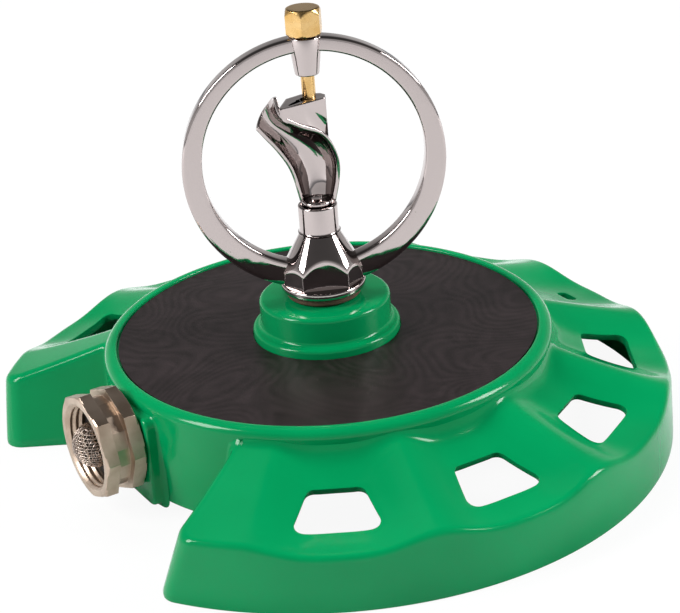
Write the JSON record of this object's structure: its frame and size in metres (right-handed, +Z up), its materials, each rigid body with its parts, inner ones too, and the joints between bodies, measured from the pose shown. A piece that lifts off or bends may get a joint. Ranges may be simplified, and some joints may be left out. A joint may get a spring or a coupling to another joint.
{
  "type": "rotary lawn sprinkler",
  "caption": "Rotary lawn sprinkler: round cast base with a windowed skirt, hose swivel at its side, and a ring frame holding a spinning scoop over the jet.",
  "frame": {"origin": "on the ground, in the middle of the outline seen from above; the spin axis stands 9.1 mm nearer the hose inlet", "axes": "+Z up along the spin axis, -Y out through the hose inlet, +X to the right of someone who faces the inlet"},
  "size_m": [0.2286, 0.2102, 0.1483],
  "materials": {
    "green_powder_coat": "gloss powder coat",
    "black_satin_print": "satin print film",
    "chrome": "polished chrome plate",
    "nickel_plate": "satin nickel plate on brass",
    "brass": "turned brass",
    "stainless": "bright stainless steel",
    "fibre": "pressed fibre",
    "rubber": "moulded rubber",
    "white_nylon": "moulded nylon"
  },
  "bodies": {
    "base": {"base_casting": "green_powder_coat", "deck_disc": "black_satin_print", "channel_plug": "brass", "inlet_tailpiece": "brass", "tailpiece_gasket": "fibre", "swivel_o_ring": "rubber", "hub_washer": "fibre", "ring_frame": "chrome", "jet_nozzle": "brass", "nozzle_seal": "rubber", "lower_bush": "white_nylon", "thrust_washer": "stainless"},
    "swivel": {"swivel_nut": "nickel_plate", "hose_washer": "rubber", "filter_rim": "stainless", "filter_screen": "stainless"},
    "rotor": {"spinner": "chrome", "pivot_seat": "stainless"},
    "screw_ring": {"screw_o_ring": "rubber"},
    "screw": {"adjusting_screw": "brass"}
  },
  "joints": [
    {"name": "nut_swivel", "type": "hinge", "parent": "base", "child": "swivel", "pos_m": [0, -0.09363, 0.0234], "axis": [0, -1, 0], "continuous": true},
    {"name": "spinner_spin", "type": "hinge", "parent": "base", "child": "rotor", "pos_m": [0, -0.00923, 0.0771], "axis": [0, 0, 1], "continuous": true},
    {"name": "screw_lift", "type": "slide", "parent": "base", "child": "screw_ring", "axis": [0, 0, 1], "range_m": [-0.0002, 0.0008]},
    {"name": "screw_turn", "type": "hinge", "parent": "screw_ring", "child": "screw", "pos_m": [0, -0.00923, 0.1398], "axis": [0, 0, 1], "range_deg": [-92, 362]}
  ],
  "couplings": [
    {"joint": "screw_turn", "follows": "screw_lift", "rad_per_m": 7854}
  ]
}
